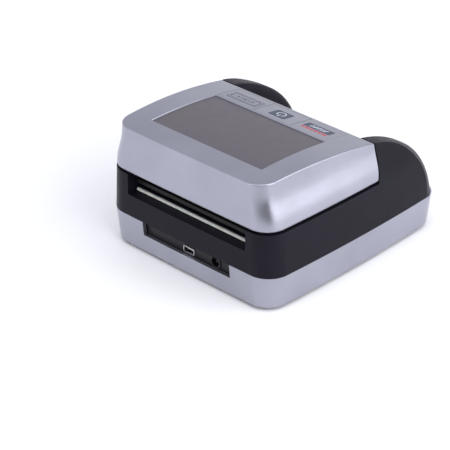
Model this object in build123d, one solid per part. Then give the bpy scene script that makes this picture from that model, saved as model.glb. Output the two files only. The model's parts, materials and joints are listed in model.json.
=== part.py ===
from build123d import *
import os
from math import acos, cos, pi, radians, sin, sqrt, tan

# A countertop counterfeit bill detector. Millimetres, +Z up, origin at the bottom centre.
# The operator feeds the note at -Y, and it leaves at +Y, through the exit recess.

# Outer shape
HALF_W = 63.8
HALF_D = 72.0
SIDE_BOW = 2.1
END_BOW = 0.4
CORNER_R = 13.8
CORNER_SHARE = 0.4
BASE_CORNER_SHARE = 0.6
BASE_EDGE = 0.7
FOOT_H = 1.6
BASE_TOP = 21.3
BASE_TAPER = 1.7
MID_TOP = 47.0
COVER_BOTTOM = 47.9
WALL = 2.2
MID_WALL = 2.4
COVER_WALL = 2.4

# Side walls above the base: inset from the half width, every OGEE_STEP from OGEE_Z up.
# The ends lean in by a share of it.
END_SHARE = 0.17
OGEE_Z = 47.0
OGEE_STEP = 4.0
OGEE = (1.35, 1.75, 2.5, 3.75, 5.1, 6.1, 6.65, 6.95, 7.1)

# Arched top of the cover, a cylinder along X
ARCH_R = 315.0
ARCH_Y = 46.0
ARCH_Z = 75.9

# Hinge of the upper module, inside the exit side
HINGE_Y = 64.0
HINGE_Z = 63.5
COVER_SWEEP_R = 80.6
RIM_R = 1.9
LOBE_GAP = 0.45
LOBE_EDGE_R = 3.0
LOBE_RIDGE_R = 13.0
LOBE_ARCS = ((85.0, radians(36)), (56.2, radians(84)))
LOBE_NOSE_X = 62.0
LOBE_NOSE_Y = -60.0
LOBE_LEAN = 0.2
PIN_R = 1.2
ARM_X = 45.8
ARM_T = 1.8
ARM_EYE_R = 2.35

# Note path
PATH_Z = 41.2
PATH_GAP = 2.2
CHANNEL_X = 45.6
RECESS_X = 44.4
RECESS_FLOOR = 34.5
RECESS_BACK_Y = 64.4
TRAY_Y = -17.0
TRAY_FRONT_Z = 33.0

# Drive train: equal gears on one line, and a pinion under the last idler
DRIVE_Z = 36.0
ENTRY_Y = -4.0
MODULE = 0.5
GEAR_TEETH = 29
PINION_TEETH = 12
GEAR_X = -54.0
GEAR_W = 4.0
ROLLER_R = 6.0
ROLLER_XS = (-32.0, -12.0, 12.0, 32.0)
SHAFT_R = 2.0
RUN_GAP = 0.05
PINCH_R = 4.5
PINCH_SHAFT_R = 1.5
PINCH_GAP = 0.3

# Window and key strip on the top
STRIP_X = 40.8
WINDOW_Y = (5.8, 55.6)
KEYS_Y = (-13.9, 4.4)
KEY_SPLIT = (13.4, -14.0)
FIT_GAP = 0.3
SINK = 0.7
WINDOW_BEVEL = 0.45

# Inside
BOARD_T = 1.6
DISPLAY_BOARD_Z = 65.0
BOARD_SCREWS = ((-44.0, -8.0), (44.0, -8.0), (-39.0, 57.4), (39.0, 57.4))
KEY_STEM_XS = (28.0, 0.4)
KEY_STEM_Y = -5.0
SENSOR_XS = (-30, -15, 0, 15, 30)
GLASS_X = 40.0
GLASS_Y = (10.0, 22.0)
MAGNET_X = 52.0
MAGNET_Y = -8.0
BAY_X = 38.0
BAY_Y = (-62.0, -22.0)
DOOR_SCREW_Y = -19.0
INLET_X = -20.0
INLET_Z = 16.4
PORT_Z = (13.5, 17.5)
NOTCH_X = 33.0
NOTCH_Z = 12.8
BOSS_X = 58.3
BOSS_Y = 45.0
BOSS_R = 3.0
FOOT_XY = (47.0, 53.0)
TAB_Y = (8.0, 32.0)
TAB_X = 50.0

GEAR_PITCH_R = MODULE * GEAR_TEETH / 2
PINION_PITCH_R = MODULE * PINION_TEETH / 2
GEAR_YS = [ENTRY_Y + 2 * GEAR_PITCH_R * i for i in range(5)]
EXIT_Y = GEAR_YS[4]
MOTOR_Y = GEAR_YS[3]
MOTOR_Z = DRIVE_Z - GEAR_PITCH_R - PINION_PITCH_R
PINCH_Z = DRIVE_Z + ROLLER_R + PINCH_GAP + PINCH_R
GUIDE_Z = PATH_Z + PATH_GAP
GUIDE_T = 2.2


def block(x0, x1, y0, y1, z0, z1):
    """A box between two corners."""
    centre = Pos((x0 + x1) / 2, (y0 + y1) / 2, (z0 + z1) / 2)
    return centre * Box(x1 - x0, y1 - y0, z1 - z0)


def rod(x0, x1, y, z, r):
    """A round bar along X."""
    return Pos((x0 + x1) / 2, y, z) * Rot(0, 90, 0) * Cylinder(r, x1 - x0)


def post(x, y, z0, z1, r):
    """A round bar along Z."""
    return Pos(x, y, (z0 + z1) / 2) * Cylinder(r, z1 - z0)


def pipe(y0, y1, x, z, r):
    """A round bar along Y."""
    return Pos(x, (y0 + y1) / 2, z) * Rot(90, 0, 0) * Cylinder(r, y1 - y0)


def side_face(points):
    """A polygon in the YZ plane."""
    return Plane.YZ * make_face(Polyline(*points, close=True))


def prism(face, x0, x1):
    """A YZ face, extruded from x0 to x1."""
    return Pos(x0, 0, 0) * extrude(face, amount=x1 - x0, dir=(1, 0, 0))


def disc(y, z, r):
    """A circle in the YZ plane."""
    return Plane.YZ * Pos(y, z) * Circle(r)


def fuse(parts):
    """Joins a list of solids."""
    return Part() + list(parts)


def arch_z(y, drop=0.0):
    """Height of the cover's top at y, less a radial drop."""
    return ARCH_Z - ARCH_R + sqrt((ARCH_R - drop) ** 2 - (y - ARCH_Y) ** 2)


def arch_disc(drop):
    return disc(ARCH_Y, ARCH_Z - ARCH_R, ARCH_R - drop)


def arch_plate(x0, x1, y0, y1, drop, thick):
    """A plate that follows the arch, its top a drop below it."""
    ring = prism(arch_disc(drop), x0, x1) - prism(arch_disc(drop + thick), x0 - 1, x1 + 1)
    return ring & block(x0, x1, y0, y1, 60, 80)


def plan(half_x, half_y, corner, z):
    """Bowed rounded rectangle at height z."""
    cx = half_x - SIDE_BOW
    cy = half_y - END_BOW
    edges = [
        ThreePointArc((cx, -cy), (half_x, 0), (cx, cy)),
        ThreePointArc((cx, cy), (0, half_y), (-cx, cy)),
        ThreePointArc((-cx, cy), (-half_x, 0), (-cx, -cy)),
        ThreePointArc((-cx, -cy), (0, -half_y), (cx, -cy)),
    ]
    face = make_face(edges)
    return Pos(0, 0, z) * fillet(face.vertices(), corner)


def wall_section(z, inset, wall):
    """Outline of the body above the base, at one height."""
    end_inset = inset * END_SHARE
    corner = CORNER_R - CORNER_SHARE * inset - wall
    return plan(HALF_W - inset - wall, HALF_D - end_inset - wall, corner, z)


def envelope(wall=0.0):
    """The body above the base: a straight taper, then an ogee in to the ridge."""
    upright = [wall_section(BASE_TOP, 0, wall), wall_section(OGEE_Z, OGEE[0], wall)]
    ogee = [wall_section(OGEE_Z + OGEE_STEP * i, inset, wall) for i, inset in enumerate(OGEE)]
    return loft(upright, ruled=True) + loft(ogee)


def cover_prism(drop, sweep, z0):
    """Below the arch and inside the swept circle about the hinge."""
    face = arch_disc(drop) & disc(HINGE_Y, HINGE_Z, sweep)
    tall = prism(face, -80, 80)
    return tall & block(-80, 80, -40, 80, z0, 90)


def lobe_prism(wall):
    """Side profile of the operator's lobes, tangent to the arch."""
    start_y = HINGE_Y - COVER_SWEEP_R - LOBE_GAP
    start_a = (ARCH_Y - start_y) / ARCH_R
    y, z, a = start_y, arch_z(start_y), start_a
    points = []
    edges = []
    for r, end in LOBE_ARCS:
        r_in = r - wall
        cy = y + r * sin(a)
        cz = z - r * cos(a)
        pts = [(cy - r_in * sin(t), cz + r_in * cos(t)) for t in (a, (a + end) / 2, end)]
        edges.append(ThreePointArc(*pts))
        points.append(pts)
        y = cy - r * sin(end)
        z = cz + r * cos(end)
        a = end
    first = points[0][0]
    last = points[1][2]
    foot_z = 5.0
    foot_y = last[0] - (last[1] - foot_z) / tan(a)
    back_y = 10.0
    back_z = first[1] + (back_y - first[0]) * tan(start_a)
    edges.append(Polyline(last, (foot_y, foot_z), (back_y, foot_z), (back_y, back_z), first))
    return prism(Plane.YZ * make_face(edges), -80, 80)


def behind_sweep(gap):
    """The space on the operator's side of the cover's swept end."""
    face = disc(HINGE_Y, HINGE_Z, COVER_SWEEP_R + gap)
    return block(-80, 80, -90, 20, 0, 90) - prism(face, -80, 80)


def base_outer(wall, z0):
    """The base's tapered outside, from z0 up, with its lowest edge broken."""
    sections = []
    for z, inset in ((z0, BASE_TAPER + BASE_EDGE), (z0 + 0.8, BASE_TAPER), (BASE_TOP, 0)):
        cut = inset + wall
        corner = CORNER_R - BASE_CORNER_SHARE * inset - wall
        sections.append(plan(HALF_W - cut, HALF_D - cut, corner, z))
    return loft(sections, ruled=True)


def make_base_shell():
    shell = base_outer(0, FOOT_H)
    floor = FOOT_H + WALL
    shell -= base_outer(WALL, floor)
    shell += [post(x, y, floor - 0.5, BASE_TOP, BOSS_R) for x, y in boss_places()]
    shell -= block(-NOTCH_X, NOTCH_X, 60, 80, NOTCH_Z, BASE_TOP + 5)
    shell -= block(-BAY_X, BAY_X, *BAY_Y, 0, floor + 1)
    shell += [block(x - 5, x + 5, -62.5, -58, floor, floor + 1.2) for x in (-25, 25)]
    shell += post(0, DOOR_SCREW_Y, floor - 0.5, 9, 3.5)
    for x, y in boss_places():
        shell -= post(x, y, 0, BASE_TOP + 1, 1.5)
        shell -= post(x, y, 0, FOOT_H + 2, 2.8)
    shell -= post(0, DOOR_SCREW_Y, floor, 10, 1.1)
    for x, y in foot_places():
        shell -= post(x, y, 0, FOOT_H + 0.8, 5.2)
    return shell


def boss_places():
    return [(x, y) for x in (-BOSS_X, BOSS_X) for y in (-BOSS_Y, BOSS_Y)]


def foot_places():
    return [(x, y) for x in (-FOOT_XY[0], FOOT_XY[0]) for y in (-FOOT_XY[1], FOOT_XY[1])]


def lobe_wing(wall):
    """One side of the lobe profile. Its rounded outer side leans in, so that the ridge fades out."""
    nose_x = LOBE_NOSE_X - wall
    wing = lobe_prism(wall) & block(0, nose_x, -90, 40, 0, 90)
    ridge = [e for e in wing.edges().filter_by(GeomType.CIRCLE) if e.center().X > nose_x - 1]
    wing = fillet(ridge, LOBE_RIDGE_R - wall)
    shift = -LOBE_LEAN * LOBE_NOSE_Y
    lean = Matrix([[1, LOBE_LEAN, 0, shift], [0, 1, 0, 0], [0, 0, 1, 0], [0, 0, 0, 1]])
    return fuse([wing.solid().transform_geometry(lean)])


def make_lobe():
    """The lobe at +X, with a soft edge along the tray."""
    lobe = lobe_wing(0) & block(CHANNEL_X, 80, -90, 40, 0, 90)
    inner = [e for e in lobe.edges() if e.bounding_box().max.X < CHANNEL_X + 0.02]
    return fillet(inner, LOBE_EDGE_R)


def make_mid_outer():
    """Outside of the middle body: rails, lobes with soft edges, and the tray's surface."""
    full = envelope()
    lobe = make_lobe()
    wings = lobe + mirror(lobe, about=Plane.YZ)
    low = [(-90, 15), (-90, TRAY_FRONT_Z - 3), (TRAY_Y, PATH_Z), (TRAY_Y, 60), (80, 60), (80, 15)]
    middle = lobe_prism(0) + block(-80, 80, -10, 80, 15, 60)
    middle &= prism(side_face(low), -CHANNEL_X - 4, CHANNEL_X + 4)
    rails = block(-80, 80, -10, 80, 15, 60)
    outer = full & (wings + middle + rails)
    over_rails = block(-80, 80, -40, 80, MID_TOP, 90)
    return outer - (over_rails - behind_sweep(LOBE_GAP))


def make_mid_housing():
    """Black middle body: rails, tray, lobes and exit recess, hollow inside."""
    body = make_mid_outer()
    inner = envelope(MID_WALL)
    out_x = CHANNEL_X + 2.0
    below = lobe_prism(MID_WALL) + block(-80, 80, -10, 80, 15, 60)
    lobe_bay_x = 48.0
    hollow = inner & block(-lobe_bay_x, lobe_bay_x, -69, 80, BASE_TOP - 1, 32) & below
    bays = block(-80, -out_x, -14, 80, 20, 44.9) + block(out_x, 80, -14, 80, 20, 44.9)
    hollow += inner & bays
    lobe_bay = lobe_wing(MID_WALL) & block(lobe_bay_x, 80, -80, -19.5, 20, 90)
    hollow += inner & (lobe_bay + mirror(lobe_bay, about=Plane.YZ))
    body -= hollow
    body -= block(-CHANNEL_X, CHANNEL_X, TRAY_Y - 3, 62.4, 20, 39)
    body -= block(-CHANNEL_X, CHANNEL_X, TRAY_Y, 62.4, 38, 60)
    under = [(-69, 20), (-69, 30.5), (-20, 38.4), (-20, 20)]
    body -= prism(side_face(under), -CHANNEL_X, CHANNEL_X) & inner
    body -= block(-RECESS_X, RECESS_X, RECESS_BACK_Y, 80, RECESS_FLOOR, 60)
    body -= block(-RECESS_X, RECESS_X, 60, RECESS_BACK_Y + 1, 37, 60)
    body += [post(x, y, BASE_TOP, 32, BOSS_R) for x, y in boss_places()]
    for x, y in boss_places():
        body -= post(x, y, 10, 29, 1.2)
    for y in (ENTRY_Y, EXIT_Y):
        body -= rod(-out_x - 1, out_x + 1, y, DRIVE_Z, 3.5)
    body -= block(-out_x - 1, -40, MOTOR_Y - 11, MOTOR_Y + 10, 30, 37)
    for x in (-MAGNET_X, MAGNET_X):
        body -= post(x, MAGNET_Y, MID_TOP - 1.5, MID_TOP + 1, 3.0)
    swing_room = block(-60, 60, 57.5, 68.8, MID_TOP - 0.7, MID_TOP + 1)
    return body - (swing_room & inner)


def make_note_bed():
    """The plate that notes slide on, with openings for rollers, glass and head."""
    x = CHANNEL_X
    bed = block(-x, x, TRAY_Y, 62.4, 39, PATH_Z)
    bed += block(-RECESS_X, RECESS_X, 62.4, 64.2, 39, PATH_Z)
    bed += block(-x, x, TRAY_Y, TRAY_Y + 2, 37.6, 39.2)
    for y in (ENTRY_Y, EXIT_Y):
        bed -= [block(rx - 5, rx + 5, y - 6.2, y + 6.2, 30, 50) for rx in ROLLER_XS]
    bed -= block(-GLASS_X, GLASS_X, *GLASS_Y, 30, 50)
    bed -= block(-8.3, 8.3, 29, 37, 30, 50)
    return bed


def make_exit_light():
    bar = block(-43.5, 43.5, RECESS_BACK_Y, RECESS_BACK_Y + 1.2, 34.9, 36.5)
    return fillet(bar.edges().filter_by(Axis.X).group_by(Axis.Y)[-1], 0.4)


def make_rubber_feet():
    feet = []
    for x, y in foot_places():
        foot = post(x, y, 0, FOOT_H + 0.8, 5.0)
        feet.append(chamfer(foot.edges().sort_by(Axis.Z)[0], 0.5))
    return fuse(feet)


def make_screw(x, y, head_z, tip_z, head_r, head_h, shank_r):
    """A screw whose head is at head_z, and whose tip is at tip_z."""
    step = head_h if tip_z > head_z else -head_h
    low, high = sorted((head_z, head_z + step))
    screw = post(x, y, low, high, head_r)
    low, high = sorted((head_z + step, tip_z))
    screw += post(x, y, low, high, shank_r)
    mark = sorted((head_z, head_z + step * 0.5))
    screw -= block(x - head_r * 0.6, x + head_r * 0.6, y - 0.3, y + 0.3, *mark)
    screw -= block(x - 0.3, x + 0.3, y - head_r * 0.6, y + head_r * 0.6, *mark)
    return screw


def make_base_screws():
    return fuse(make_screw(x, y, FOOT_H + 0.2, 28, 2.5, 1.8, 1.2) for x, y in boss_places())


def make_battery_door():
    gap = 0.25
    x = BAY_X - gap
    y0, y1 = BAY_Y[0] + gap, BAY_Y[1] - gap
    top = FOOT_H + WALL
    door = block(-x, x, y0, y1, FOOT_H, top)
    door -= [block(rx - 12, rx + 12, -45, -44, 0, FOOT_H + 0.6) for rx in (-20, 20)]
    return door + block(-4, 4, -26, y1, top, top + 1)


def make_battery_pack():
    pack = block(-34, 34, -57, -29, 5.2, 23)
    return fillet(pack.edges().filter_by(Axis.X), 3.0)


def make_main_board():
    board = block(-50, 50, -14, 62, 7, 7 + BOARD_T)
    board += [block(x, x + 9, y, y + 9, 8.6, 10.4) for x, y in ((-6, 8), (18, 22))]
    board += [block(x, x + 4, y, y + 4, 8.6, 13.5) for x, y in ((34, 4), (34, 12), (-30, 2))]
    board += [post(x, y, 3.8, 7.1, 2.4) for x in (-46, 46) for y in (-6, 34)]
    return board


def make_connector_panel():
    x = NOTCH_X + 1.5
    panel = block(-x, x, 66.8, 68.4, 9.5, BASE_TOP)
    panel -= pipe(60, 80, INLET_X, INLET_Z, 3.9)
    panel -= block(-4.2, 4.2, 60, 80, PORT_Z[0] - 0.1, PORT_Z[1] + 0.1)
    return panel


def make_dc_inlet():
    inlet = block(INLET_X - 4.5, INLET_X + 4.5, 56, 66.8, 8.6, 20.4)
    inlet += pipe(66.7, 69.0, INLET_X, INLET_Z, 3.85)
    inlet -= pipe(59, 80, INLET_X, INLET_Z, 2.75)
    inlet += pipe(58.5, 67.5, INLET_X, INLET_Z, 0.95)
    return inlet


def make_usb_socket():
    z0, z1 = PORT_Z
    shell = block(-4.1, 4.1, 57, 69.0, z0, z1)
    shell = fillet(shell.edges().filter_by(Axis.Y), 0.6)
    shell -= block(-3.6, 3.6, 59, 80, z0 + 0.5, z1 - 0.5)
    shell += block(-2.6, 2.6, 59, 67.5, z0 + 1.6, z1 - 1.6)
    shell += block(-3.5, 3.5, 57, 62, 8.6, z0 + 0.1)
    return shell


def make_buzzer():
    body = post(34, 50, 8.6, 15.0, 6.0)
    return body - post(34, 50, 14.0, 16.0, 1.2)


def make_motor():
    can = rod(-47.8, -20, MOTOR_Y, MOTOR_Z, 10.0)
    can = fillet(can.edges().filter_by(GeomType.CIRCLE), 1.2)
    can += rod(-20.2, -17, MOTOR_Y, MOTOR_Z, 3.0)
    can -= rod(-50, -46, MOTOR_Y, MOTOR_Z, 1.05)
    can -= rod(-48, -18.5, MOTOR_Y, MOTOR_Z, 1.05)
    return can


def make_gear_plate():
    plate = block(-48.8, -47.8, -11.5, 62, 21.4, 44.2)
    plate -= block(-50, -46, -20, 24, 20, 29)
    for y in (ENTRY_Y, EXIT_Y):
        plate -= rod(-50, -47, y, DRIVE_Z, 3.7)
    plate -= rod(-50, -47, MOTOR_Y, MOTOR_Z, 2.0)
    plate -= post(-BOSS_X, BOSS_Y, 20, 40, 1)
    return plate


def make_idler_pins():
    pins = []
    for y in GEAR_YS[1:4]:
        pin = rod(-55.3, -48.8, y, DRIVE_Z, 1.5)
        pin += rod(-49.6, -48.8, y, DRIVE_Z, 2.6)
        pin += rod(-55.3, -54.4, y, DRIVE_Z, 2.2)
        pins.append(pin)
    return fuse(pins)


def make_shaft_bushes():
    bushes = []
    for y in (ENTRY_Y, EXIT_Y):
        for side in (-1, 1):
            x0, x1 = sorted((side * CHANNEL_X, side * (CHANNEL_X + 2.0)))
            bush = rod(x0, x1, y, DRIVE_Z, 3.5)
            f0, f1 = sorted((side * CHANNEL_X, side * (CHANNEL_X - 1.0)))
            bush += rod(f0, f1, y, DRIVE_Z, 4.4) & block(-60, 60, -20, 80, 20, 38.9)
            bushes.append(bush - rod(-60, 60, y, DRIVE_Z, SHAFT_R + RUN_GAP))
    return fuse(bushes)


def make_lower_sensor_board():
    board = block(-42, 42, 5.5, 26.5, 34, 34 + BOARD_T)
    board += [block(x - 3, x + 3, 12, 20, 35.6, 38.4) for x in SENSOR_XS]
    board += [block(x - 1.5, x + 1.5, 23, 26, 35.6, 39) for x in (-38, 38)]
    return board


def make_lower_sensor_glass():
    return block(-GLASS_X, GLASS_X, *GLASS_Y, 39.2, PATH_Z)


def make_magnetic_head():
    head = block(-8, 8, 29.3, 36.7, 32.5, PATH_Z + 0.2)
    head = fillet(head.edges().filter_by(Axis.X).group_by(Axis.Z)[-1], 2.0)
    head += block(-11, 11, 30.5, 35.5, 30.5, 32.5)
    return head


def make_keepers():
    return fuse(post(x, MAGNET_Y, MID_TOP - 1.5, MID_TOP, 3.0) for x in (-MAGNET_X, MAGNET_X))


def make_drive_shaft(y):
    return rod(-55.6, 49.5, y, DRIVE_Z, SHAFT_R) + rod(-49.9, -49.2, y, DRIVE_Z, 3.2)


def make_rollers(y, z, r, bore, width):
    """Rubber rollers on one shaft, with crowned edges."""
    rollers = []
    for x in ROLLER_XS:
        tyre = rod(x - width / 2, x + width / 2, y, z, r)
        tyre = chamfer(tyre.edges().filter_by(GeomType.CIRCLE), 0.5)
        rollers.append(tyre - rod(x - width, x + width, y, z, bore))
    return fuse(rollers)


def involute(angle):
    return tan(angle) - angle


def tooth_half_angle(r, teeth):
    """Half the angle of a 20 degree involute tooth at radius r, thinned for backlash."""
    pitch_r = MODULE * teeth / 2
    base_r = pitch_r * cos(radians(20))
    thin = 0.88
    at_pitch = thin * pi / (2 * teeth) + involute(radians(20))
    if r <= base_r:
        return at_pitch
    return at_pitch - involute(acos(base_r / r))


def spur_gear(teeth, first_angle, x0, x1, y, z):
    """Spur gear about an X axis. One tooth points at first_angle, from +Y towards +Z."""
    pitch_r = MODULE * teeth / 2
    base_r = pitch_r * cos(radians(20))
    root_r = pitch_r - 0.6
    tip_r = pitch_r + 0.4
    low_r = max(base_r, root_r)
    radii = [low_r + (tip_r - low_r) * k / 3 for k in range(4)]
    if root_r < base_r:
        radii.insert(0, root_r)
    points = []
    for n in range(teeth):
        centre = first_angle + 2 * pi * n / teeth
        rising = [(r, centre - tooth_half_angle(r, teeth)) for r in radii]
        falling = [(r, centre + tooth_half_angle(r, teeth)) for r in reversed(radii)]
        for r, a in rising + falling:
            points.append((r * cos(a), r * sin(a)))
    wheel = prism(side_face(points), x0, x1)
    return Pos(0, y, z) * wheel


def make_train_gear(index, bore):
    y = GEAR_YS[index]
    x1 = GEAR_X + GEAR_W
    gear = spur_gear(GEAR_TEETH, 0, GEAR_X, x1, y, DRIVE_Z)
    web = rod(GEAR_X - 1, GEAR_X + 1.2, y, DRIVE_Z, 5.6) - rod(GEAR_X - 1, x1, y, DRIVE_Z, 3.2)
    gear -= web
    return gear - rod(GEAR_X - 1, x1 + 1, y, DRIVE_Z, bore)


def make_pinion():
    first = pi / 2 - pi / (2 * PINION_TEETH) + pi / PINION_TEETH
    gear = spur_gear(PINION_TEETH, first, GEAR_X, GEAR_X + GEAR_W, MOTOR_Y, MOTOR_Z)
    return gear - rod(GEAR_X - 1, GEAR_X + GEAR_W + 1, MOTOR_Y, MOTOR_Z, 1.0)


def make_motor_shaft():
    return rod(-54.6, -18.6, MOTOR_Y, MOTOR_Z, 1.0)


def make_top_cover():
    """Silver cover: one skin with openings for the window and the key strip."""
    cover = envelope() & cover_prism(0, COVER_SWEEP_R, COVER_BOTTOM)
    cover = round_cover(cover)
    inner = envelope(COVER_WALL)
    hollow = inner & cover_prism(WALL, COVER_SWEEP_R - WALL, COVER_BOTTOM - 2)
    cover -= hollow
    cover -= block(-STRIP_X, STRIP_X, *WINDOW_Y, 60, 90)
    cover = bevel_window(cover)
    cover -= block(-STRIP_X, STRIP_X, *KEYS_Y, 60, 90)
    inner_top = envelope(WALL / 2) & cover_prism(WALL / 2, COVER_SWEEP_R - 1, COVER_BOTTOM)
    bosses = [post(x, y, 53.0, 78, 2.5) for x in (-TAB_X, TAB_X) for y in TAB_Y]
    bosses += [post(x, y, DISPLAY_BOARD_Z + BOARD_T, 78, 1.8) for x, y in BOARD_SCREWS]
    bosses += [block(x0, x0 + 12.5, MAGNET_Y - 5, MAGNET_Y + 5, 51, 54) for x0 in (-62, 49.5)]
    for side in (-1, 1):
        for near, far in ((ARM_X - 2.6, ARM_X - 0.4), (ARM_X + ARM_T + 0.4, ARM_X + ARM_T + 2.4)):
            x0, x1 = sorted((side * near, side * far))
            cheek = block(x0, x1, HINGE_Y, 71, HINGE_Z - 2.6, HINGE_Z + 2.6)
            bosses.append(cheek + rod(x0, x1, HINGE_Y, HINGE_Z, 2.6))
    cover += fuse(bosses) & inner_top
    pin_end = ARM_X + ARM_T + 2.4
    cover -= rod(-pin_end, pin_end, HINGE_Y, HINGE_Z, PIN_R)
    for x in (-TAB_X, TAB_X):
        for y in TAB_Y:
            cover -= post(x, y, 50, 60, 1.0)
    return cover


def round_cover(cover):
    """Rounds the lower rim, the ridge and the operator's lip."""
    rim = [e for e in cover.edges() if e.bounding_box().max.Z < COVER_BOTTOM + 0.1]
    cover = fillet([e for e in rim if e.center().Y > -14], RIM_R)
    lip = [e for e in cover.edges() if e.center().Y < -15.5 and e.center().Z > 66]
    cover = fillet([e for e in lip if e.bounding_box().size.X > 60], 1.4)
    ridge = [e for e in cover.edges() if e.bounding_box().min.Z > 66]
    ridge = [e for e in ridge if e.center().Y > -10]
    return fillet(ridge, 0.7)


def bevel_window(cover):
    """Breaks the upper edge of the window's opening."""
    low_y, high_y = WINDOW_Y[0] - 0.1, WINDOW_Y[1] + 0.1
    edges = []
    for edge in cover.edges():
        c = edge.center()
        inside = abs(c.X) < STRIP_X + 0.1 and low_y < c.Y < high_y
        if inside and c.Z > arch_z(c.Y) - 0.5 and edge.bounding_box().size.Z < 4:
            edges.append(edge)
    return chamfer(edges, WINDOW_BEVEL)


def make_display_window():
    g = 0.15
    y0, y1 = WINDOW_Y
    return arch_plate(-STRIP_X + g, STRIP_X - g, y0 + g, y1 - g, SINK, 1.4)


def make_lcd_panel():
    return block(-36, 36, 11, 51, 68.6, 70.4)


def make_lcd_frame():
    frame = block(-39.5, 39.5, 8, 54, 66.6, 70.9)
    frame -= block(-36, 36, 11, 51, 68.6, 80)
    return frame


def key_zone(x0, x1):
    """A flush plate of the key strip, between x0 and x1."""
    return arch_plate(x0, x1, KEYS_Y[0] + FIT_GAP, KEYS_Y[1] - FIT_GAP, 0, 1.4)


def make_frame_key():
    x0 = KEY_SPLIT[0] + FIT_GAP / 2
    x1 = STRIP_X - FIT_GAP
    key = soften_plate(key_zone(x0, x1))
    return key + key_stem(KEY_STEM_XS[0])


def make_power_key():
    x0 = KEY_SPLIT[1] + FIT_GAP / 2
    x1 = KEY_SPLIT[0] - FIT_GAP / 2
    key = soften_plate(key_zone(x0, x1))
    return key + key_stem(KEY_STEM_XS[1])


def key_stem(x):
    """The post under a key, which presses its switch."""
    return post(x, KEY_STEM_Y, 68.3, 70.6, 2.0)


def soften_plate(plate):
    """A small chamfer around the plate's top."""
    top = plate.faces().sort_by(Axis.Z)[-1]
    return chamfer(top.edges(), 0.2)


def make_badge_plate():
    x0 = -STRIP_X + 0.05
    x1 = KEY_SPLIT[1] - FIT_GAP / 2
    return soften_plate(arch_plate(x0, x1, KEYS_Y[0] + 0.05, KEYS_Y[1] - 0.05, 0, 2.0))


def make_key_mat():
    mat = arch_plate(-40.6, 40.6, -13.3, 3.8, 2.1, 0.8)
    for x in KEY_STEM_XS:
        mat -= post(x, KEY_STEM_Y, 60, 80, 2.6)
    return mat


def make_display_board():
    board = block(-46.3, 46.3, -12, 60, DISPLAY_BOARD_Z, DISPLAY_BOARD_Z + BOARD_T)
    board += [block(x, x + 8, y, y + 8, 63.2, 65.1) for x, y in ((-20, 20), (6, 30), (24, 10))]
    board += block(-9, 9, 40, 44, 61.5, 65.1)
    for x in (-TAB_X, TAB_X):
        for y in TAB_Y:
            board -= post(x, y, 60, 70, 4.2)
    for x, y in BOARD_SCREWS:
        board -= post(x, y, 60, 70, 0.8)
    return board


def make_board_screws():
    z = DISPLAY_BOARD_Z
    return fuse(
        post(x, y, z - 1.3, z, 1.7) + post(x, y, z - 0.1, z + BOARD_T, 0.8) for x, y in BOARD_SCREWS
    )


def make_key_switches():
    top = DISPLAY_BOARD_Z + BOARD_T
    y = KEY_STEM_Y
    switches = []
    for x in KEY_STEM_XS:
        case = block(x - 3, x + 3, y - 3, y + 3, top, top + 0.8)
        switches.append(case + post(x, y, top, top + 1.2, 1.6))
    return fuse(switches)


def make_upper_guide():
    """Black inner chassis: the roof of the note path."""
    x = CHANNEL_X - 0.6
    guide = block(-x, x, -11.2, 62.0, GUIDE_Z, GUIDE_Z + GUIDE_T)
    lead = [(-14.6, 46.2), (-14.6, 47.6), (-9.8, 47.6), (-9.6, 45.6), (-11.2, GUIDE_Z)]
    guide += prism(side_face(lead), -x, x)
    walls = [block(s * x - 1, s * x + 1, -6, 40, 45.6, 51.4) for s in (-1, 1)]
    guide += [w & block(-x, x, -10, 60, 40, 60) for w in walls]
    for y in TAB_Y:
        for s in (-1, 1):
            a, b = sorted((s * (x - 1), s * (TAB_X + 3)))
            guide += block(a, b, y - 4, y + 4, 51.0, 53.0)
    for y in (ENTRY_Y, EXIT_Y):
        guide -= [block(rx - 4.6, rx + 4.6, y - 5.4, y + 5.4, 40, 47) for rx in ROLLER_XS]
        for lug in (-40, -22, 22, 40):
            guide += block(lug - 1.2, lug + 1.2, y - 4, y + 4, 45.0, 49.6)
        guide -= rod(-41.9, 41.9, y, PINCH_Z, PINCH_SHAFT_R + RUN_GAP)
    guide -= block(-GLASS_X, GLASS_X, *GLASS_Y, 40, 50)
    for sx in (-TAB_X, TAB_X):
        for y in TAB_Y:
            guide -= post(sx, y, 50, 54, 1.2)
    return guide


def make_upper_sensor_glass():
    return block(-GLASS_X, GLASS_X, *GLASS_Y, GUIDE_Z, GUIDE_Z + 1.8)


def make_upper_sensor_board():
    board = block(-41, 41, 7, 27, 48.5, 48.5 + BOARD_T)
    board += [block(x - 3, x + 3, 12, 20, 46.0, 48.6) for x in SENSOR_XS]
    board += [post(x, 25, 45.6, 48.6, 1.6) for x in (-36, 36)]
    return board


def make_pinch_shaft(y):
    return rod(-41.6, 41.6, y, PINCH_Z, PINCH_SHAFT_R)


def make_pinch_springs():
    """Leaf springs over the pinch shafts, each on its own foot."""
    springs = []
    for y in (ENTRY_Y, EXIT_Y):
        for x in (-18.5, 18.5):
            leaf = block(x - 1.5, x + 1.5, y - 2, y + 7, 49.0, 49.4)
            springs.append(leaf + block(x - 1.5, x + 1.5, y + 5.6, y + 7, 45.6, 49.2))
    return fuse(springs)


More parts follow.
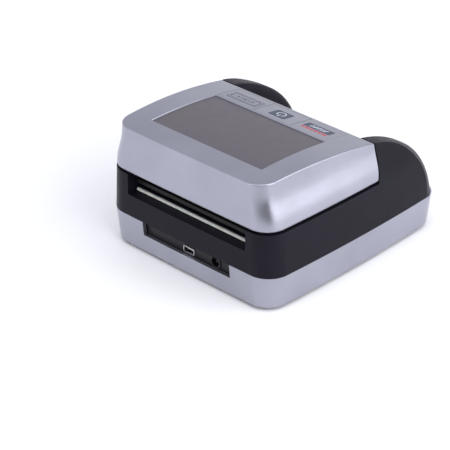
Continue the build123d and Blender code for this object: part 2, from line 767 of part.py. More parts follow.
def make_hinge_arms():
    """Goose-neck arms: a foot on the rail, and an eye at the hinge."""
    arms = []
    for side in (-1, 1):
        x0, x1 = sorted((side * ARM_X, side * (ARM_X + ARM_T)))
        w = ARM_EYE_R
        ay, az = HINGE_Y - 19.8, MID_TOP + 1.6
        a = radians(35)
        oy, oz = -w * sin(a), w * cos(a)
        strip = [
            (HINGE_Y + oy, HINGE_Z + oz),
            (ay - 3, az + 1.6),
            (ay - 8, az),
            (ay - 8, MID_TOP),
            (ay + 2.0, MID_TOP),
            (ay + 3.4, az - 0.6),
            (HINGE_Y - oy, HINGE_Z - oz),
        ]
        arm = prism(side_face(strip), x0, x1) + rod(x0, x1, HINGE_Y, HINGE_Z, w)
        f0, f1 = sorted((side * ARM_X, side * (ARM_X + 9.5)))
        arm += block(f0, f1, ay - 8, ay + 2, MID_TOP, MID_TOP + 1.2)
        arm -= rod(x0 - 1, x1 + 1, HINGE_Y, HINGE_Z, PIN_R + RUN_GAP)
        arm -= post(side * (ARM_X + 6), ay - 3, 40, 60, 1.1)
        arms.append(arm)
    return fuse(arms)


def make_arm_screws():
    screws = []
    for side in (-1, 1):
        x, y = side * (ARM_X + 6), HINGE_Y - 22.8
        head = post(x, y, MID_TOP + 1.2, MID_TOP + 2.4, 2.1)
        screws.append(head + post(x, y, MID_TOP, MID_TOP + 1.3, 1.1))
    return fuse(screws)


def make_hinge_pins():
    pins = []
    for side in (-1, 1):
        a, b = sorted((side * (ARM_X - 2.6), side * (ARM_X + ARM_T + 2.4)))
        pins.append(rod(a, b, HINGE_Y, HINGE_Z, PIN_R))
    return fuse(pins)


def make_lid_magnets():
    return fuse(post(x, MAGNET_Y, MID_TOP + 0.9, 51.0, 2.8) for x in (-MAGNET_X, MAGNET_X))


def make_lid_screws():
    parts = []
    for x in (-TAB_X, TAB_X):
        for y in TAB_Y:
            parts.append(post(x, y, 49.9, 51.0, 2.0) + post(x, y, 50.9, 59, 1.0))
    return fuse(parts)


def make_ribbon_cable():
    """Flat cable between the upper sensor board and the display board."""
    low = [(24.5, 50.1), (24.5, 50.6), (36.0, 61.5), (36.6, 61.5), (25.4, 50.1)]
    ribbon = prism(side_face(low), -7, 7)
    ribbon += block(-7, 7, 36.0, 41.0, 61.0, 61.5)
    return ribbon


def build_all():
    return {
        "base_shell": make_base_shell(),
        "mid_housing": make_mid_housing(),
        "note_bed": make_note_bed(),
        "exit_light": make_exit_light(),
        "rubber_feet": make_rubber_feet(),
        "base_screws": make_base_screws(),
        "battery_door": make_battery_door(),
        "battery_pack": make_battery_pack(),
        "main_board": make_main_board(),
        "connector_panel": make_connector_panel(),
        "dc_inlet": make_dc_inlet(),
        "usb_socket": make_usb_socket(),
        "buzzer": make_buzzer(),
        "drive_motor": make_motor(),
        "gear_plate": make_gear_plate(),
        "idler_pins": make_idler_pins(),
        "shaft_bushes": make_shaft_bushes(),
        "lower_sensor_board": make_lower_sensor_board(),
        "lower_sensor_glass": make_lower_sensor_glass(),
        "magnetic_head": make_magnetic_head(),
        "magnet_keepers": make_keepers(),
        "hinge_arms": make_hinge_arms(),
        "arm_screws": make_arm_screws(),
        "motor_shaft": make_motor_shaft(),
        "motor_pinion": make_pinion(),
        "entry_shaft": make_drive_shaft(ENTRY_Y),
        "entry_rollers": make_rollers(ENTRY_Y, DRIVE_Z, ROLLER_R, SHAFT_R, 8),
        "entry_gear": make_train_gear(0, SHAFT_R),
        "idler_gear_1": make_train_gear(1, 1.5 + RUN_GAP),
        "idler_gear_2": make_train_gear(2, 1.5 + RUN_GAP),
        "idler_gear_3": make_train_gear(3, 1.5 + RUN_GAP),
        "exit_shaft": make_drive_shaft(EXIT_Y),
        "exit_rollers": make_rollers(EXIT_Y, DRIVE_Z, ROLLER_R, SHAFT_R, 8),
        "exit_gear": make_train_gear(4, SHAFT_R),
        "top_cover": make_top_cover(),
        "upper_guide": make_upper_guide(),
        "upper_sensor_board": make_upper_sensor_board(),
        "upper_sensor_glass": make_upper_sensor_glass(),
        "entry_pinch_shaft": make_pinch_shaft(ENTRY_Y),
        "entry_pinch_rollers": make_rollers(ENTRY_Y, PINCH_Z, PINCH_R, PINCH_SHAFT_R, 7),
        "exit_pinch_shaft": make_pinch_shaft(EXIT_Y),
        "exit_pinch_rollers": make_rollers(EXIT_Y, PINCH_Z, PINCH_R, PINCH_SHAFT_R, 7),
        "pinch_springs": make_pinch_springs(),
        "display_board": make_display_board(),
        "board_screws": make_board_screws(),
        "key_switches": make_key_switches(),
        "lcd_frame": make_lcd_frame(),
        "lcd_panel": make_lcd_panel(),
        "display_window": make_display_window(),
        "key_mat": make_key_mat(),
        "frame_key": make_frame_key(),
        "power_key": make_power_key(),
        "badge_plate": make_badge_plate(),
        "ribbon_cable": make_ribbon_cable(),
        "hinge_pins": make_hinge_pins(),
        "lid_magnets": make_lid_magnets(),
        "lid_screws": make_lid_screws(),
    }


os.makedirs("parts", exist_ok=True)
for name, solid in build_all().items():
    export_step(solid, f"parts/{name}.step")
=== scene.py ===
import json
from math import cos, pi, radians, sin

import bmesh
import bpy
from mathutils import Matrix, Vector
from mathutils.bvhtree import BVHTree

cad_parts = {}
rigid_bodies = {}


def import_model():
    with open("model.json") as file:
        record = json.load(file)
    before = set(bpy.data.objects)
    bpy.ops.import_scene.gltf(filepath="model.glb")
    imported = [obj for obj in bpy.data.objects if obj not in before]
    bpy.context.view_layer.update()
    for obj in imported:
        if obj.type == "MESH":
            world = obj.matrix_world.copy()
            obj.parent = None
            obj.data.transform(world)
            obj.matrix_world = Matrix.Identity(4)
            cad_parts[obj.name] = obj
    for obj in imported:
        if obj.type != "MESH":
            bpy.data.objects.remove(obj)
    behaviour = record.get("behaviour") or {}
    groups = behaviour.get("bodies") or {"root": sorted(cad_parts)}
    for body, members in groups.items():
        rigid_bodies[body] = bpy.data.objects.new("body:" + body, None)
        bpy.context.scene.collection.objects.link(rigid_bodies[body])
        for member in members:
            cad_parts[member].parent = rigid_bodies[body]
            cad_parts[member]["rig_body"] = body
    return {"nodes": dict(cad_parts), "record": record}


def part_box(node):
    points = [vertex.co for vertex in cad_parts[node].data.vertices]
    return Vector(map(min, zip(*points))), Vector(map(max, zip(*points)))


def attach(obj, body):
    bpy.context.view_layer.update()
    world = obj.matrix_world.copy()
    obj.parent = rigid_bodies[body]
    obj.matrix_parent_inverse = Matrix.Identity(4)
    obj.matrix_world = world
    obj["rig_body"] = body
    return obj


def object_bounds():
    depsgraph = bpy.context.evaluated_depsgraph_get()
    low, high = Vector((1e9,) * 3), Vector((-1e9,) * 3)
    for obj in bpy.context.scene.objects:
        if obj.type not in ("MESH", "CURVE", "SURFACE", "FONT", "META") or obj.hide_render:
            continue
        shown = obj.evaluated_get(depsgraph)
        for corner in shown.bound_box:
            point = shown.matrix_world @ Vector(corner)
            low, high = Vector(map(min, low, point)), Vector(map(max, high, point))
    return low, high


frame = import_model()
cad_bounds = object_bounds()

MM = 0.001
DOWN = Vector((0, 0, -1))

# The camera: compass heading it looks along (from +Y towards +X), tilt down, distance and lens,
# and the point it looks at, measured from the middle of the object's box
CAMERA_HEADING = radians(136.09)
CAMERA_TILT = radians(29.94)
CAMERA_DISTANCE = 1071.7 * MM
CAMERA_LENS = 158.4
CAMERA_CLIP = 10 * MM
LOOK_AT = Vector((-12.4, 53.5, -7.95)) * MM

# Studio: the sky's colours, a black flag that shades reflections from one heading, and the floor
HORIZON = (0.95, 0.95, 0.97, 1)
ZENITH = (0.6, 0.61, 0.68, 1)
ZENITH_FROM = 0.6
FLAG_HEADING = radians(326)
FLAG_REACH = radians(34)
FLAG_DISTANCE = 400 * MM
FLAG_HEIGHT = 230 * MM
FLAG_STEPS = 24
FLAG_COLORS = ((0.004, 0.004, 0.005), (0.006, 0.006, 0.007))
FLOOR_COLORS = ((0.86, 0.86, 0.87), (0.84, 0.84, 0.85))
FLOOR_REACH = 4.0
FLOOR_SQUARES = 24

# Ink: how far it stands above a part and sinks into it, the spacing of its cuts across a curve,
# how far above the part the rays that find its surface start, and the width of printed lines
PRINT_LIFT = 0.03 * MM
PRINT_SINK = 0.05 * MM
PRINT_STEP = 1.0 * MM
RAY_START = 10 * MM
LINE = 0.6 * MM

# Wide key: two nested frames round a row of bars. Each mark's shift is from the middle of its part's
# box, and a row's widths and gap are in millimetres.
LABEL_SHIFT = (-0.6 * MM, 1.2 * MM)
LABEL_WIDTH = 22 * MM
LABEL_HEIGHT = 9.4 * MM
LABEL_CORNER = 0.8 * MM
LABEL_HOLE_CORNER = 0.5 * MM
INNER_INSET = 1.6 * MM
INNER_LINE = LINE * 0.8
BARS = (2.6, 1.5, 3.4, 1.1, 2.2)
BAR_GAP = 0.6
BAR_HEIGHT = 1.3 * MM
BAR_CORNER = 0.4 * MM
BARS_LEFT = -6.6 * MM

# Power key: a tile with the power symbol
TILE_SHIFT = (-0.2 * MM, 1.1 * MM)
TILE_WIDTH = 12 * MM
TILE_HEIGHT = 9.6 * MM
TILE_CORNER = 1.2 * MM
RING_RADIUS = 2.6 * MM
RING_DROP = 0.3 * MM
RING_GAP = radians(38)
STEM_LENGTH = 3.2 * MM
STEM_RISE = 2.0 * MM
STEM_CORNER = 0.28 * MM

# Badge plate: a band with leaning stripes, and a row of dashes beside it
BADGE_SHIFT = (0.8 * MM, -0.9 * MM)
BAND_WIDTH = 19 * MM
BAND_HEIGHT = 6 * MM
BAND_CORNER = 0.8 * MM
STRIPES = 5
STRIPE_PITCH = 2.4 * MM
STRIPE_WIDTH = 1.0 * MM
STRIPE_HEIGHT = 3.0 * MM
STRIPE_LEAN = 1.6 * MM
DASHES = (3.2, 2.2, 2.8, 1.8, 3.0, 2.4)
DASH_GAP = 0.5
DASH_HEIGHT = 1.9 * MM
DASH_CORNER = 0.5 * MM
DASHES_LEFT = -9 * MM
DASHES_RISE = 4.6 * MM

# Contact strips on the service port's tongue, placed from the port's mouth and top
CONTACTS = 5
CONTACT_PITCH = 0.95 * MM
CONTACT_WIDTH = 0.5 * MM
CONTACT_LENGTH = 7 * MM
CONTACT_CORNER = 0.2 * MM
CONTACT_HEIGHT = 0.12 * MM
CONTACT_SETBACK = 5.4 * MM
TONGUE_DROP = 1.6 * MM

# Sockets of the Mix node when it mixes colours
MIX_FACTOR = 0
MIX_FIRST = 6
MIX_SECOND = 7
MIX_RESULT = 2


# ---------------------------------------------------------------- materials


def shade(color, factor, lift=0.0):
    """The colour made lighter or darker."""
    return tuple(c * factor + lift for c in color)


class Finish:
    """A Principled material whose colour, roughness and surface are built from textures."""

    def __init__(self, name, color, roughness, metallic=0.0, **sockets):
        self.name = name
        self.material = bpy.data.materials.new(name)
        self.material.use_nodes = True
        self.tree = self.material.node_tree
        self.shader = self.tree.nodes["Principled BSDF"]
        self.color = (*color, 1)
        self.roughness = roughness
        self.place = self.add("ShaderNodeTexCoord").outputs["Object"]
        self.paint = None
        self.normal = None
        self.shader.inputs["Base Color"].default_value = self.color
        self.shader.inputs["Roughness"].default_value = roughness
        self.shader.inputs["Metallic"].default_value = metallic
        for socket, value in sockets.items():
            title = socket.replace("_", " ").title().replace("Ior", "IOR")
            self.shader.inputs[title].default_value = value

    def add(self, kind, **inputs):
        """A new node with some of its inputs set."""
        node = self.tree.nodes.new(kind)
        for socket, value in inputs.items():
            node.inputs[socket.replace("_", " ").title()].default_value = value
        return node

    def link(self, source, target):
        """Joins an output to an input."""
        self.tree.links.new(source, target)

    def coordinates(self, stretch):
        """Object coordinates in metres, multiplied along each axis by stretch."""
        if stretch is None:
            return self.place
        mapping = self.add("ShaderNodeMapping", scale=stretch)
        self.link(self.place, mapping.inputs["Vector"])
        return mapping.outputs["Vector"]

    def noise(self, scale, stretch=None, detail=3.0):
        """Soft cloudy noise, 0 to 1."""
        node = self.add("ShaderNodeTexNoise", scale=scale, detail=detail)
        self.link(self.coordinates(stretch), node.inputs["Vector"])
        return self.spread(node.outputs["Fac"], 0.3, 0.7)

    def cells(self, scale):
        """Cells that each have one random value, 0 to 1."""
        node = self.add("ShaderNodeTexVoronoi", scale=scale)
        self.link(self.place, node.inputs["Vector"])
        split = self.add("ShaderNodeSeparateColor")
        self.link(node.outputs["Color"], split.inputs["Color"])
        return split.outputs["Red"]

    def pits(self, scale):
        """Rounded cells: 0 at each centre, rising to its edges."""
        node = self.add("ShaderNodeTexVoronoi", scale=scale)
        node.feature = "SMOOTH_F1"
        self.link(self.place, node.inputs["Vector"])
        return node.outputs["Distance"]

    def bands(self, scale):
        """Regular stripes across the X axis, 0 to 1."""
        node = self.add("ShaderNodeTexWave", scale=scale)
        node.bands_direction = "X"
        self.link(self.place, node.inputs["Vector"])
        return node.outputs["Fac"]

    def spread(self, value, low, high, to_low=0.0, to_high=1.0):
        """Maps the range from low to high onto another range."""
        node = self.add("ShaderNodeMapRange", from_min=low, from_max=high, to_min=to_low, to_max=to_high)
        self.link(value, node.inputs["Value"])
        return node.outputs["Result"]

    def tint(self, value, color, low=0.0, high=1.0):
        """Turns the base colour towards another where value goes from low to high."""
        mix = self.add("ShaderNodeMix")
        mix.data_type = "RGBA"
        if self.paint:
            self.link(self.paint, mix.inputs[MIX_FIRST])
        else:
            mix.inputs[MIX_FIRST].default_value = self.color
        mix.inputs[MIX_SECOND].default_value = (*color, 1)
        self.link(self.spread(value, low, high), mix.inputs[MIX_FACTOR])
        self.paint = mix.outputs[MIX_RESULT]
        self.link(self.paint, self.shader.inputs["Base Color"])

    def polish(self, value, change):
        """Varies the roughness by plus or minus change."""
        low, high = self.roughness - change, self.roughness + change
        self.link(self.spread(value, 0, 1, low, high), self.shader.inputs["Roughness"])

    def bump(self, value, depth):
        """Raises the surface by value times depth, in metres."""
        node = self.add("ShaderNodeBump", distance=depth, strength=1.0)
        self.link(value, node.inputs["Height"])
        if self.normal:
            self.link(self.normal, node.inputs["Normal"])
        self.normal = node.outputs["Normal"]
        self.link(self.normal, self.shader.inputs["Normal"])


def silver_paint(name, color):
    """Metallic lacquer on plastic: fine flakes under a thin clear coat, with slight orange peel."""
    look = Finish(name, color, roughness=0.31, metallic=0.86, coat_weight=0.12, coat_roughness=0.25)
    look.tint(look.cells(4800), shade(color, 1.1), low=0.25)
    look.tint(look.noise(38), shade(color, 0.93))
    look.polish(look.noise(210), change=0.035)
    look.bump(look.noise(620, detail=2.0), depth=0.0015 * MM)
    return look


def black_plastic(name, color):
    """Moulded plastic with a fine spark-eroded texture."""
    look = Finish(name, color, roughness=0.38, specular_ior_level=0.1)
    look.tint(look.noise(55), shade(color, 1.35))
    look.polish(look.noise(420), change=0.06)
    look.bump(look.pits(2300), depth=0.006 * MM)
    look.bump(look.noise(5200, detail=2.0), depth=0.003 * MM)
    return look


def slide_plastic(name, color):
    """Satin plastic that notes slide along, with faint scuffs in their direction."""
    look = Finish(name, color, roughness=0.4, specular_ior_level=0.3)
    scuffs = look.noise(160, stretch=(9, 0.5, 2))
    look.tint(scuffs, shade(color, 1.25, lift=0.001), low=0.4)
    look.polish(scuffs, change=0.05)
    look.bump(look.noise(2400), depth=0.005 * MM)
    return look


def clear_strip(name, color):
    """Milky light guide, finely ribbed, with painted lamp light: the colour is darker between its lamps and
    lighter over them.
    """
    look = Finish(name, color, roughness=0.28, subsurface_weight=0.25, subsurface_scale=0.004)
    # painted lamp light: bands of darker colour between the lamps stand in for the glow of lamps that do
    # not shine
    look.tint(look.bands(38), shade(color, 0.88), low=0.3)
    look.polish(look.noise(300), change=0.06)
    look.bump(look.bands(320), depth=0.004 * MM)
    return look


def rubber(name, color, rings=None):
    """Matt rubber with a ground surface, a little dust and, on rollers, fine rings."""
    look = Finish(name, color, roughness=0.78, specular_ior_level=0.35)
    look.tint(look.noise(240), shade(color, 1.5, lift=0.01), low=0.35)
    look.polish(look.noise(700), change=0.08)
    look.bump(look.noise(3300, detail=4.0), depth=0.02 * MM)
    if rings:
        look.bump(look.bands(rings), depth=0.03 * MM)
    return look


def bright_steel(name, color, roughness, scale, depth, stretch=None):
    """Metal with a turned, ground or brushed grain, which stretch draws out along one direction."""
    look = Finish(name, color, roughness, metallic=1.0)
    grain = look.noise(scale, stretch=stretch, detail=4.0)
    look.tint(grain, shade(color, 0.78), low=0.2)
    look.tint(look.noise(70), shade(color, 0.88), low=0.5)
    look.polish(grain, change=0.08)
    look.bump(grain, depth)
    return look


def pressed_zinc(name, color):
    """Galvanised sheet with a soft spangle."""
    look = Finish(name, color, roughness=0.36, metallic=1.0)
    spangle = look.cells(420)
    look.tint(spangle, shade(color, 0.8))
    look.polish(spangle, change=0.07)
    look.bump(look.noise(2600, stretch=(1, 0.2, 1)), depth=0.002 * MM)
    return look


def sintered_bronze(name, color):
    """Porous bearing metal, with painted shade darkening its small holes."""
    look = Finish(name, color, roughness=0.42, metallic=1.0)
    pores_and_shade = look.noise(2800, detail=4.0)
    # painted shade: the colour darkens in the small holes of the metal, where shade falls; the same pattern
    # also raises the bump
    look.tint(pores_and_shade, shade(color, 0.35), low=0.6)
    look.polish(look.noise(500), change=0.08)
    look.bump(pores_and_shade, depth=0.008 * MM)
    return look


def circuit_board(name, color):
    """Green solder mask with copper tracks showing through and a faint glass weave."""
    look = Finish(name, color, roughness=0.34, coat_weight=0.5, coat_roughness=0.12)
    bricks = look.add("ShaderNodeTexBrick", scale=190.0, mortar_size=0.028)
    bricks.offset = 0.37
    bricks.squash = 1.6
    look.link(look.place, bricks.inputs["Vector"])
    tracks = bricks.outputs["Fac"]
    weave = look.noise(1400, stretch=(1, 6, 1))
    look.tint(tracks, shade(color, 1.9, lift=0.01))
    look.tint(weave, shade(color, 0.7), low=0.4)
    look.polish(look.noise(900), change=0.05)
    look.bump(tracks, depth=0.02 * MM)
    look.bump(weave, depth=0.004 * MM)
    return look


def moulded(name, color, roughness, grain):
    """Plain small moulding: fine grain and slight flow marks."""
    look = Finish(name, color, roughness, specular_ior_level=0.3)
    look.tint(look.noise(180, stretch=(1, 3, 1)), shade(color, 1.25, lift=0.002), low=0.3)
    look.polish(look.noise(grain * 0.3), change=0.06)
    look.bump(look.noise(grain), depth=0.006 * MM)
    return look


def dark_glass(name, color):
    """Dark or tinted glass with a few fine hairlines."""
    look = Finish(name, color, roughness=0.08, specular_ior_level=0.6, coat_weight=0.4, coat_roughness=0.03)
    hairs = look.noise(500, stretch=(12, 0.3, 1), detail=2.0)
    look.tint(hairs, shade(color, 1.7, lift=0.006), low=0.72)
    look.polish(hairs, change=0.05)
    return look


def window_film(name, color):
    """Smoked display window under a fine anti-glare film."""
    red, green, blue = color
    look = Finish(name, color, roughness=0.42, specular_ior_level=0.5)
    look.tint(look.noise(34, detail=4.0), (red * 0.93, green * 0.9, blue * 1.1), low=0.2)
    look.tint(look.cells(6500), shade(color, 1.12), low=0.4)
    look.polish(look.noise(120), change=0.04)
    look.bump(look.pits(5200), depth=0.003 * MM)
    return look


def shrink_wrap(name, color):
    """Glossy film shrunk round the cells, with small creases."""
    look = Finish(name, color, roughness=0.28, coat_weight=0.5, coat_roughness=0.1)
    creases = look.noise(260, stretch=(0.6, 2.4, 1), detail=5.0)
    look.tint(creases, shade(color, 1.4, lift=0.01), low=0.5)
    look.polish(look.noise(300), change=0.05)
    look.bump(creases, depth=0.06 * MM)
    return look


def flat_cable(name, color):
    """Pale ribbon with a conductor under each rib."""
    look = Finish(name, color, roughness=0.45)
    ribs = look.bands(250)
    look.tint(ribs, shade(color, 0.72), low=0.4)
    look.polish(look.noise(400), change=0.05)
    look.bump(ribs, depth=0.12 * MM)
    return look


def printed(name, color):
    """Screen-printed ink: slightly uneven and duller than what it is on."""
    look = Finish(name, color, roughness=0.5)
    look.tint(look.noise(1700), shade(color, 1.3, lift=0.004), low=0.35)
    look.polish(look.noise(900), change=0.06)
    look.bump(look.noise(4200), depth=0.003 * MM)
    return look


def flag_card():
    """Matt black card, a little uneven."""
    color, other = FLAG_COLORS
    look = Finish("flag", color, roughness=0.9, specular_ior_level=0.0)
    look.tint(look.noise(30), other)
    return look


def floor_paint():
    """Pale matt floor, slightly cloudy."""
    color, other = FLOOR_COLORS
    look = Finish("floor", color, roughness=0.6)
    look.tint(look.noise(12), other)
    look.polish(look.noise(30), change=0.05)
    return look


SILVER = (0.36, 0.365, 0.43)

FINISHES = {look.name: look for look in (
    silver_paint("silver_shell", SILVER),
    black_plastic("black_body", (0.0068, 0.0062, 0.0108)),
    slide_plastic("inner_plastic", (0.012, 0.012, 0.013)),
    clear_strip("light_strip", (0.62, 0.62, 0.58)),
    rubber("rubber_black", (0.02, 0.02, 0.021)),
    rubber("rubber_grey", (0.09, 0.092, 0.098), rings=900.0),
    bright_steel("steel_screw", (0.5, 0.5, 0.52), 0.32, 1500, 0.004 * MM),
    pressed_zinc("steel_plate", (0.58, 0.59, 0.6)),
    bright_steel("shaft_steel", (0.56, 0.56, 0.57), 0.2, 900, 0.002 * MM, stretch=(6, 0.5, 0.5)),
    sintered_bronze("bush_brass", (0.5, 0.31, 0.12)),
    circuit_board("board_green", (0.006, 0.06, 0.028)),
    moulded("connector_black", (0.007, 0.007, 0.009), roughness=0.42, grain=1900),
    bright_steel("port_metal", (0.6, 0.6, 0.6), 0.26, 1100, 0.002 * MM, stretch=(1, 5, 1)),
    bright_steel("motor_can", (0.53, 0.53, 0.54), 0.3, 700, 0.003 * MM, stretch=(7, 1, 1)),
    moulded("gear_white", (0.66, 0.65, 0.6), roughness=0.38, grain=1200),
    dark_glass("sensor_glass", (0.03, 0.008, 0.01)),
    bright_steel("head_metal", (0.5, 0.5, 0.5), 0.24, 1200, 0.002 * MM, stretch=(5, 0.5, 1)),
    bright_steel("magnet", (0.6, 0.59, 0.56), 0.22, 400, 0.003 * MM),
    shrink_wrap("battery_wrap", (0.015, 0.06, 0.2)),
    window_film("display_window", (0.083, 0.075, 0.084)),
    dark_glass("lcd_glass", (0.05, 0.055, 0.05)),
    bright_steel("lcd_metal", (0.5, 0.5, 0.5), 0.35, 900, 0.003 * MM, stretch=(1, 6, 1)),
    silver_paint("key_silver", shade(SILVER, 0.97)),
    rubber("key_mat", (0.35, 0.36, 0.37)),
    flat_cable("ribbon", (0.5, 0.5, 0.47)),
    printed("dark_ink", (0.045, 0.055, 0.088)),
    printed("red_ink", (0.42, 0.05, 0.065)),
    printed("light_ink", (0.5, 0.52, 0.58)),
)}


def dress_frame():
    """Gives every CAD node the finish of its material slot."""
    for part in frame["record"]["subparts"]:
        mesh = frame["nodes"][part["node"]].data
        mesh.materials.clear()
        mesh.materials.append(FINISHES[part["material_slot"]].material)


# ---------------------------------------------------------------- pieces


def add_object(name, bm, finish):
    """Turns a bmesh into an object with one finish."""
    mesh = bpy.data.meshes.new(name)
    bm.to_mesh(mesh)
    bm.free()
    mesh.materials.append(finish.material)
    thing = bpy.data.objects.new(name, mesh)
    bpy.context.scene.collection.objects.link(thing)
    return thing


def add_piece(name, bm, finish, body):
    """Turns a bmesh into a piece that moves with a CAD body."""
    bmesh.ops.recalc_face_normals(bm, faces=bm.faces)
    piece = add_object(name, bm, FINISHES[finish])
    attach(piece, body)


def thicken(bm, faces, height):
    """Raises a copy of the faces by height and walls it in."""
    for item in bmesh.ops.extrude_face_region(bm, geom=faces)["geom"]:
        if isinstance(item, bmesh.types.BMVert):
            item.co.z += height


def rounded(x, y, width, height, radius, steps=6):
    """Outline of a rounded rectangle about (x, y)."""
    outline = []
    for turn, (sx, sy) in enumerate(((1, 1), (-1, 1), (-1, -1), (1, -1))):
        cx = x + sx * (width / 2 - radius)
        cy = y + sy * (height / 2 - radius)
        for i in range(steps + 1):
            angle = (turn + i / steps) * pi / 2
            outline.append((cx + radius * cos(angle), cy + radius * sin(angle)))
    return outline


def arc_band(x, y, radius, width, start, end, steps=28):
    """Outline of a bent bar: an arc of a ring about (x, y)."""
    outline = []
    for r, first, last in ((radius + width / 2, start, end), (radius - width / 2, end, start)):
        for i in range(steps + 1):
            angle = first + (last - first) * i / steps
            outline.append((x + r * cos(angle), y + r * sin(angle)))
    return outline


def leaning(x, y, width, height, lean):
    """Outline of a bar whose top is shifted sideways by lean."""
    w, h = width / 2, height / 2
    corners = ((-w, -h, -1), (w, -h, -1), (w, h, 1), (-w, h, 1))
    return [(x + dx + side * lean / 2, y + dy) for dx, dy, side in corners]


def bar_row(left, y, widths, gap, height, radius):
    """Shapes of rounded bars from left to right. Their widths and the gap are in millimetres."""
    shapes = []
    for width in widths:
        shapes.append([rounded(left + width / 2 * MM, y, width * MM, height, radius)])
        left += (width + gap) * MM
    return shapes


def middle(node, dx, dy):
    """The point at (dx, dy) from the middle of a CAD node's box."""
    low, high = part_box(node)
    return (low.x + high.x) / 2 + dx, (low.y + high.y) / 2 + dy


def print_on(name, node, shapes, finish, lift=PRINT_LIFT):
    """A thin layer of ink that follows the top of a CAD node. Each shape is a list of outlines."""
    surface = frame["nodes"][node]
    tree = BVHTree.FromPolygons([v.co for v in surface.data.vertices],
                                [p.vertices for p in surface.data.polygons])
    bm = bmesh.new()
    for outlines in shapes:
        edges = []
        for outline in outlines:
            ring = [bm.verts.new((x, y, 0)) for x, y in outline]
            edges += [bm.edges.new((a, b)) for a, b in zip(ring, ring[1:] + ring[:1])]
        bmesh.ops.triangle_fill(bm, edges=edges, use_beauty=True)
    low = min(v.co.y for v in bm.verts)
    high = max(v.co.y for v in bm.verts)
    cut = low + PRINT_STEP
    while cut < high:
        everything = bm.verts[:] + bm.edges[:] + bm.faces[:]
        bmesh.ops.bisect_plane(bm, geom=everything, plane_co=(0, cut, 0), plane_no=(0, 1, 0))
        cut += PRINT_STEP
    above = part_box(node)[1].z + RAY_START
    for vert in bm.verts:
        hit = tree.ray_cast(Vector((vert.co.x, vert.co.y, above)), DOWN)
        vert.co.z = hit[0].z - PRINT_SINK
    thicken(bm, bm.faces[:], PRINT_SINK + lift)
    add_piece(name, bm, finish, surface["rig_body"])


def print_frame_key():
    """Two nested frames round a row of bars that stand for words."""
    x, y = middle("frame_key", *LABEL_SHIFT)
    shapes = []
    for inset, line in ((0, LINE), (INNER_INSET, INNER_LINE)):
        width = LABEL_WIDTH - 2 * inset
        height = LABEL_HEIGHT - 2 * inset
        outer = rounded(x, y, width, height, LABEL_CORNER)
        hole = rounded(x, y, width - 2 * line, height - 2 * line, LABEL_HOLE_CORNER)
        shapes.append([outer, hole])
    shapes += bar_row(x + BARS_LEFT, y, BARS, BAR_GAP, BAR_HEIGHT, BAR_CORNER)
    print_on("frame_key_print", "frame_key", shapes, "dark_ink")


def print_power_key():
    """A dark tile with the generic power symbol: a ring, open at the top, and a stem."""
    x, y = middle("power_key", *TILE_SHIFT)
    tile = rounded(x, y, TILE_WIDTH, TILE_HEIGHT, TILE_CORNER)
    start = pi / 2 + RING_GAP
    end = 2 * pi + pi / 2 - RING_GAP
    ring = arc_band(x, y - RING_DROP, RING_RADIUS, LINE, start, end)
    stem = rounded(x, y + STEM_RISE, LINE, STEM_LENGTH, STEM_CORNER)
    print_on("power_key_tile", "power_key", [[tile]], "dark_ink")
    print_on("power_key_glyph", "power_key", [[ring], [stem]], "light_ink", lift=2 * PRINT_LIFT)


def print_badge():
    """A plain dark band with slanted stripes, and a row of red dashes beside it."""
    x, y = middle("badge_plate", *BADGE_SHIFT)
    band = rounded(x, y, BAND_WIDTH, BAND_HEIGHT, BAND_CORNER)
    stripes = []
    for i in range(STRIPES):
        across = x + (i - (STRIPES - 1) / 2) * STRIPE_PITCH
        stripes.append([leaning(across, y, STRIPE_WIDTH, STRIPE_HEIGHT, STRIPE_LEAN)])
    dashes = bar_row(x + DASHES_LEFT, y + DASHES_RISE, DASHES, DASH_GAP, DASH_HEIGHT, DASH_CORNER)
    print_on("badge_band", "badge_plate", [[band]], "dark_ink")
    print_on("badge_stripes", "badge_plate", stripes, "light_ink", lift=2 * PRINT_LIFT)
    print_on("badge_dashes", "badge_plate", dashes, "red_ink")


def add_port_contacts():
    """Contact strips on the tongue inside the service port."""
    low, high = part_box("usb_socket")
    bm = bmesh.new()
    for i in range(CONTACTS):
        x = (low.x + high.x) / 2 + (i - (CONTACTS - 1) / 2) * CONTACT_PITCH
        y = high.y - CONTACT_SETBACK
        outline = rounded(x, y, CONTACT_WIDTH, CONTACT_LENGTH, CONTACT_CORNER, steps=4)
        ring = [bm.verts.new((px, py, high.z - TONGUE_DROP)) for px, py in outline]
        thicken(bm, [bm.faces.new(ring)], CONTACT_HEIGHT)
    add_piece("port_contacts", bm, "bush_brass", "base")


# ---------------------------------------------------------------- studio


def add_area(name, target, watts, size, heading, height, distance):
    """A soft square light at a compass heading about the target, aimed at it."""
    data = bpy.data.lights.new(name, "AREA")
    data.energy = watts
    data.size = size
    light = bpy.data.objects.new(name, data)
    bpy.context.scene.collection.objects.link(light)
    spot = target + Vector((sin(heading) * distance, cos(heading) * distance, height))
    light.location = spot
    light.rotation_euler = (target - spot).to_track_quat("-Z", "Y").to_euler()


def add_world():
    """Pale surroundings, bright at the horizon and dimmer overhead."""
    world = bpy.data.worlds.new("studio")
    bpy.context.scene.world = world
    world.use_nodes = True
    tree = world.node_tree
    back = tree.nodes["Background"]
    coord = tree.nodes.new("ShaderNodeTexCoord")
    split = tree.nodes.new("ShaderNodeSeparateXYZ")
    ramp = tree.nodes.new("ShaderNodeValToRGB")
    horizon, zenith = ramp.color_ramp.elements
    horizon.position = 0.0
    horizon.color = HORIZON
    zenith.position = ZENITH_FROM
    zenith.color = ZENITH
    tree.links.new(coord.outputs["Generated"], split.inputs["Vector"])
    tree.links.new(split.outputs["Z"], ramp.inputs["Fac"])
    tree.links.new(ramp.outputs["Color"], back.inputs["Color"])
    back.inputs["Strength"].default_value = 1.0


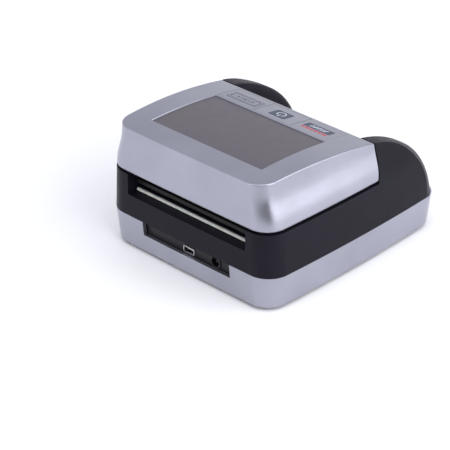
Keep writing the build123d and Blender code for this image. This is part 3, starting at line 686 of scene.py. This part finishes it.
def add_flag(target):
    """A curved black card on the floor, seen only in reflections, as a studio flag is used."""
    bm = bmesh.new()
    columns = []
    for i in range(FLAG_STEPS + 1):
        heading = FLAG_HEADING + FLAG_REACH * (2 * i / FLAG_STEPS - 1)
        x = target.x + FLAG_DISTANCE * sin(heading)
        y = target.y + FLAG_DISTANCE * cos(heading)
        columns.append([bm.verts.new((x, y, z)) for z in (0, FLAG_HEIGHT)])
    for left, right in zip(columns, columns[1:]):
        bm.faces.new((left[0], right[0], right[1], left[1]))
    flag = add_object("flag", bm, flag_card())
    flag.visible_camera = False
    flag.visible_diffuse = False
    flag.visible_shadow = False


def add_floor():
    """Pale matt floor under the object."""
    bm = bmesh.new()
    bmesh.ops.create_grid(bm, x_segments=FLOOR_SQUARES, y_segments=FLOOR_SQUARES, size=FLOOR_REACH)
    floor = add_object("floor", bm, floor_paint())
    floor.location.z = cad_bounds[0][2]


def add_camera(centre):
    """The camera, looking down at the corner between the exit side and the long side."""
    level = cos(CAMERA_TILT)
    forward = Vector((sin(CAMERA_HEADING) * level, cos(CAMERA_HEADING) * level, -sin(CAMERA_TILT)))
    data = bpy.data.cameras.new("camera")
    data.lens = CAMERA_LENS
    data.clip_start = CAMERA_CLIP
    camera = bpy.data.objects.new("camera", data)
    bpy.context.scene.collection.objects.link(camera)
    camera.location = centre + LOOK_AT - forward * CAMERA_DISTANCE
    camera.rotation_euler = forward.to_track_quat("-Z", "Y").to_euler()
    bpy.context.scene.camera = camera


def add_studio():
    """Everything round the object: surroundings, floor, flag, lights and camera."""
    low, high = (Vector(corner) for corner in cad_bounds)
    centre = (low + high) / 2
    add_world()
    add_floor()
    add_flag(centre)
    add_area("overhead", centre, watts=13, size=1.6, heading=radians(316), height=1.5, distance=0.3)
    add_area("side_soft", centre, watts=22, size=1.9, heading=radians(260), height=0.4, distance=1.2)
    add_area("exit_soft", centre, watts=4.5, size=0.9, heading=radians(8), height=0.4, distance=1.3)
    add_camera(centre)
    bpy.context.scene.view_settings.view_transform = "Standard"


dress_frame()
print_frame_key()
print_power_key()
print_badge()
add_port_contacts()
add_studio()
